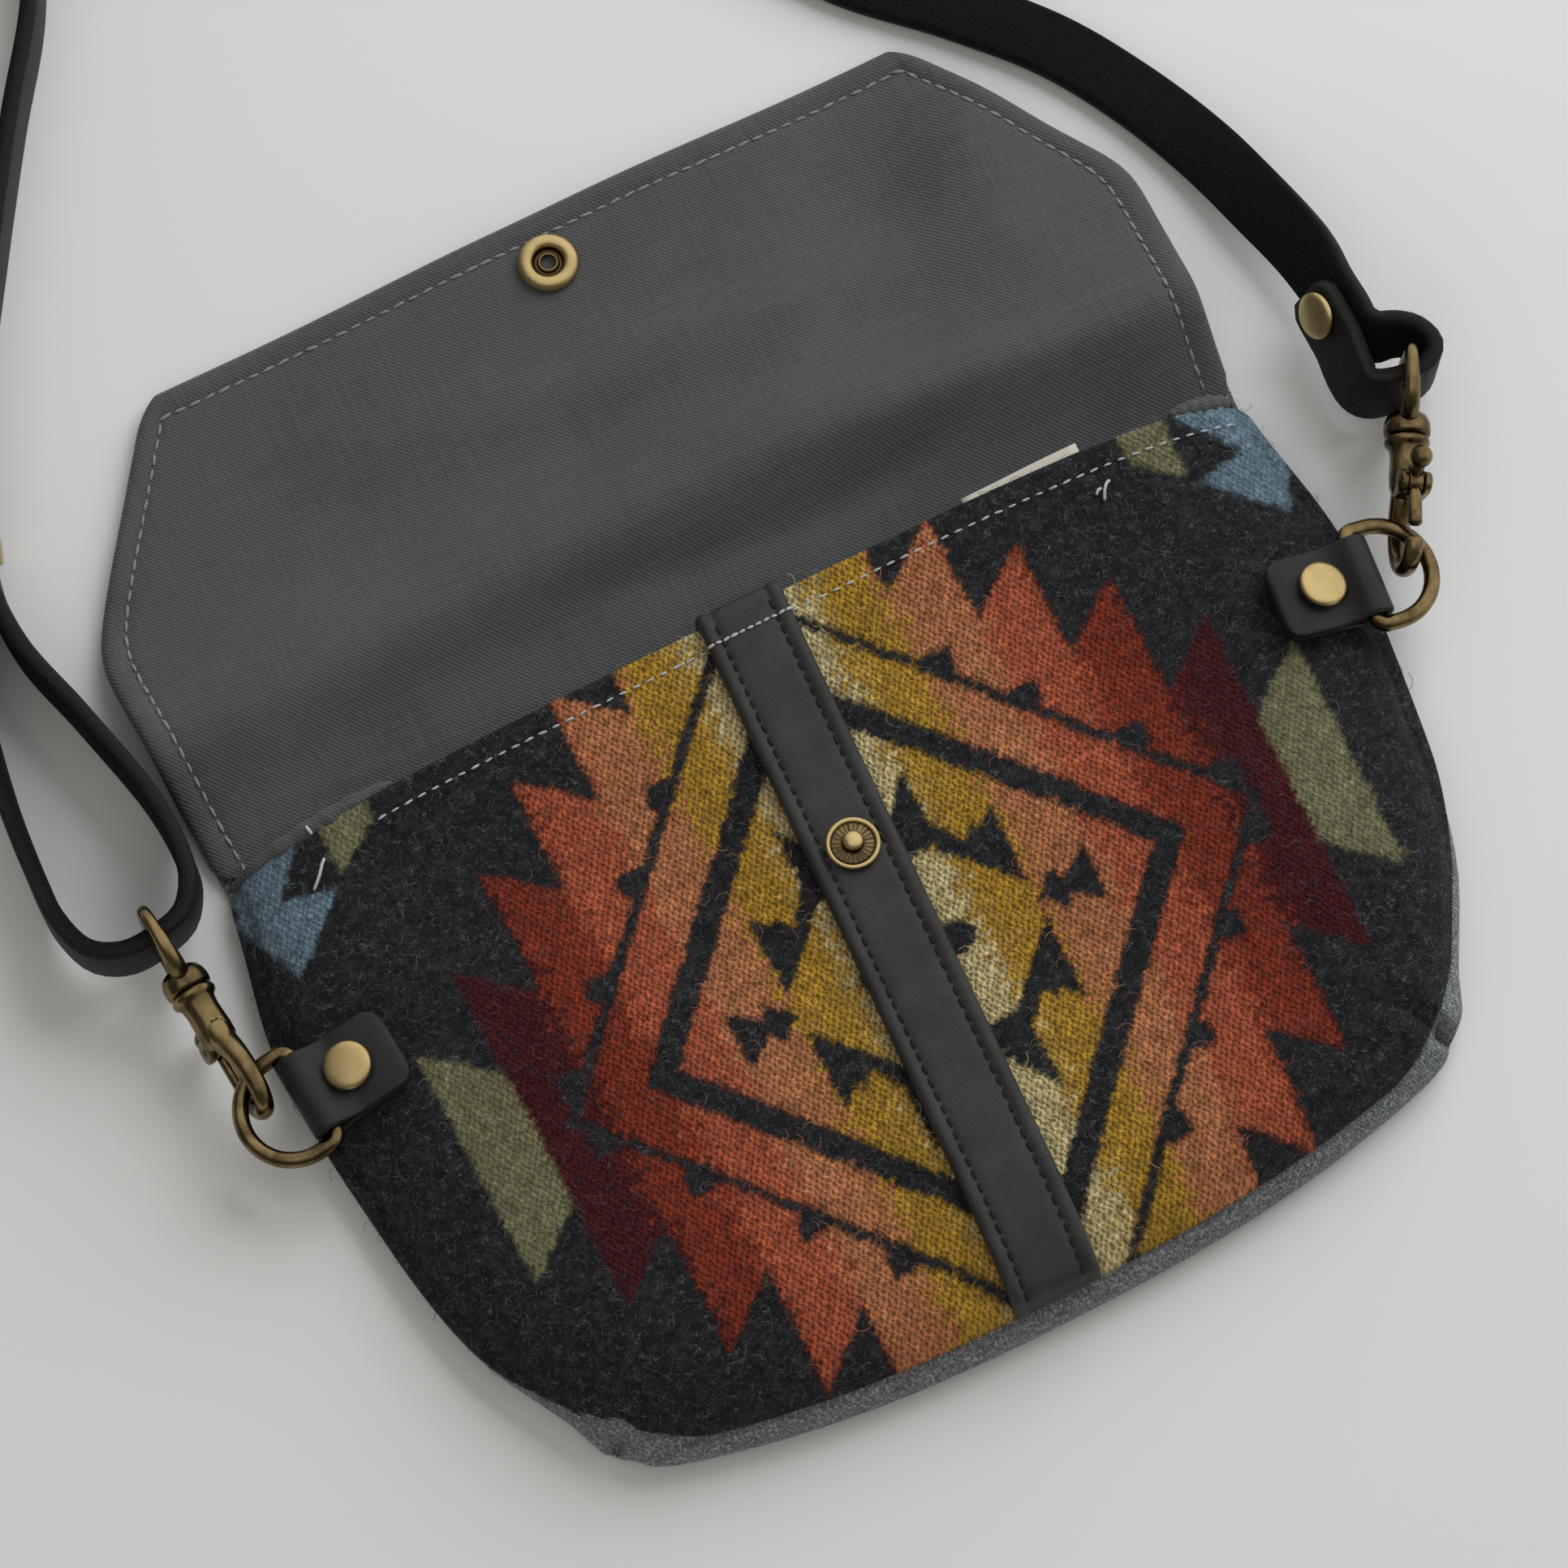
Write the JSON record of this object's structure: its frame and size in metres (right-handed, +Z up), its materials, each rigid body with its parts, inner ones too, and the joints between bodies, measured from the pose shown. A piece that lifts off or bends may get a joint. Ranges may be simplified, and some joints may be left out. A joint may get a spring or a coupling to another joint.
{
  "type": "kilim saddle bag",
  "caption": "Small flap bag lying open on its back: kilim wool front with a leather strip and snap, canvas back and flap, side D-rings, swivel hooks and a leather strap.",
  "frame": {"origin": "on the table under the middle of the part's box, strap left out", "axes": "+X across the bag to the right, +Y from the bag's bottom to the open flap, +Z up from the table through the front"},
  "size_m": [0.276, 0.4345, 0.0214],
  "materials": {
    "kilim_wool": "woven wool, many colours",
    "canvas": "heather grey canvas",
    "lining_cloth": "charcoal canvas",
    "leather": "black waxed leather",
    "strap_leather": "black strap leather",
    "brass": "bright brass",
    "antique_brass": "antique brass",
    "label_cloth": "bare woven label"
  },
  "bodies": {
    "bag": {"front_panel": "kilim_wool", "front_lining": "lining_cloth", "back_panel_and_flap": "canvas", "flap_facing": "lining_cloth", "leather_strip": "leather", "snap_stud": "antique_brass", "snap_stud_eyelet": "antique_brass", "snap_socket": "brass", "snap_cap": "brass", "left_tab": "leather", "right_tab": "leather", "left_tab_rivet": "brass", "left_tab_rivet_back": "brass", "right_tab_rivet": "brass", "right_tab_rivet_back": "brass", "strap": "strap_leather", "left_strap_rivet": "brass", "left_strap_rivet_back": "brass", "label_tag": "label_cloth"},
    "left_ring": {"left_d_ring": "antique_brass", "left_swivel_eye": "antique_brass"},
    "left_hook": {"left_hook_body": "antique_brass", "left_gate_pin": "antique_brass"},
    "left_gate": {"left_gate_lever": "antique_brass"},
    "right_ring": {"right_d_ring": "antique_brass", "right_swivel_eye": "antique_brass", "right_strap_rivet": "brass", "right_strap_rivet_back": "brass"},
    "right_hook": {"right_hook_body": "antique_brass", "right_gate_pin": "antique_brass"},
    "right_gate": {"right_gate_lever": "antique_brass"}
  },
  "joints": [
    {"name": "left_ring_hinge", "type": "hinge", "parent": "bag", "child": "left_ring", "pos_m": [-0.11259, -0.02551, 0.01323], "axis": [-0.1045, 0.9945, 0], "range_deg": [0, 50], "deforming": ["strap"]},
    {"name": "left_swivel", "type": "hinge", "parent": "left_ring", "child": "left_hook", "pos_m": [-0.12211, -0.01815, 0.01185], "axis": [0.1184, -0.993, 0], "range_deg": [-10, 20]},
    {"name": "left_gate_hinge", "type": "hinge", "parent": "left_hook", "child": "left_gate", "pos_m": [-0.12411, -0.00893, 0.00796], "axis": [-0.9675, -0.1154, 0.225], "range_deg": [0, 14], "stiffness_Nm_per_rad": 0.02, "springref_deg": -28.65},
    {"name": "right_ring_hinge", "type": "hinge", "parent": "bag", "child": "right_ring", "pos_m": [0.09891, -0.02009, 0.01322], "axis": [-0.1045, -0.9945, 0], "range_deg": [0, 50], "deforming": ["strap"]},
    {"name": "right_swivel", "type": "hinge", "parent": "right_ring", "child": "right_hook", "pos_m": [0.111, -0.01548, 0.0114], "axis": [-0.471, -0.8821, 0], "range_deg": [-20, 20]},
    {"name": "right_gate_hinge", "type": "hinge", "parent": "right_hook", "child": "right_gate", "pos_m": [0.11599, -0.00805, 0.01529], "axis": [0.8595, -0.4589, -0.225], "range_deg": [0, 14], "stiffness_Nm_per_rad": 0.02, "springref_deg": -28.65}
  ]
}
